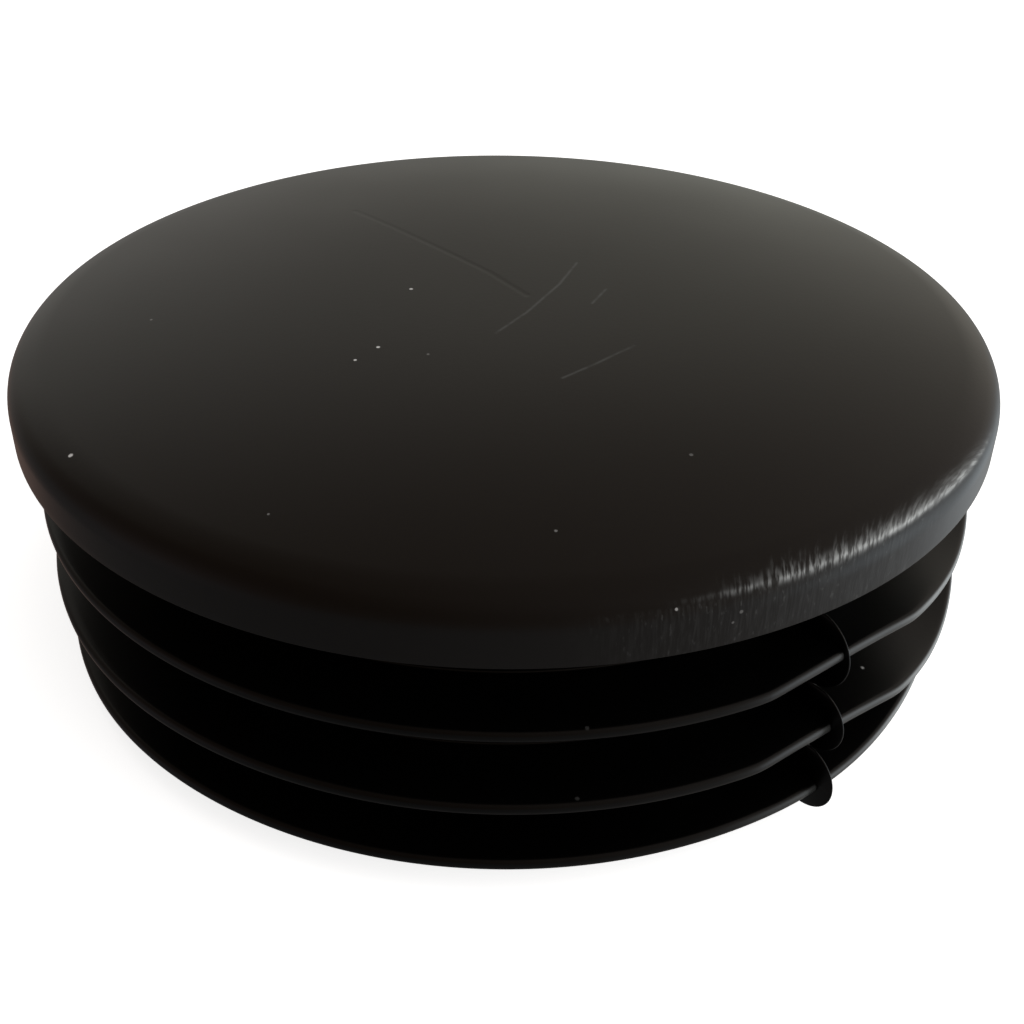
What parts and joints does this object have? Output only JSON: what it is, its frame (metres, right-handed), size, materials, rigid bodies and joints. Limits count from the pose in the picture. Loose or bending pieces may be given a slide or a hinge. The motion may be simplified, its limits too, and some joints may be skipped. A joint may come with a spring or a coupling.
{
  "type": "round tube end cap",
  "caption": "Domed insert cap that closes the end of a round tube: the head seats on the tube's end and thin flexible fins on a hollow stem grip the bore.",
  "frame": {"origin": "centre of the stem's open lower rim, on the cap's axis, where the cap rests", "axes": "+Z along the cap's axis from the open stem up through the domed head; the mould's parting plane holds +Z and stands 51.6 degrees clockwise from +X, seen from above"},
  "size_m": [0.076, 0.076, 0.0288],
  "materials": {
    "black_polyethylene": "satin moulded black polyethylene with a fine grain, scuffed on one stretch of the crown"
  },
  "bodies": {
    "root": {"tube_end_cap": "black_polyethylene"}
  },
  "joints": []
}
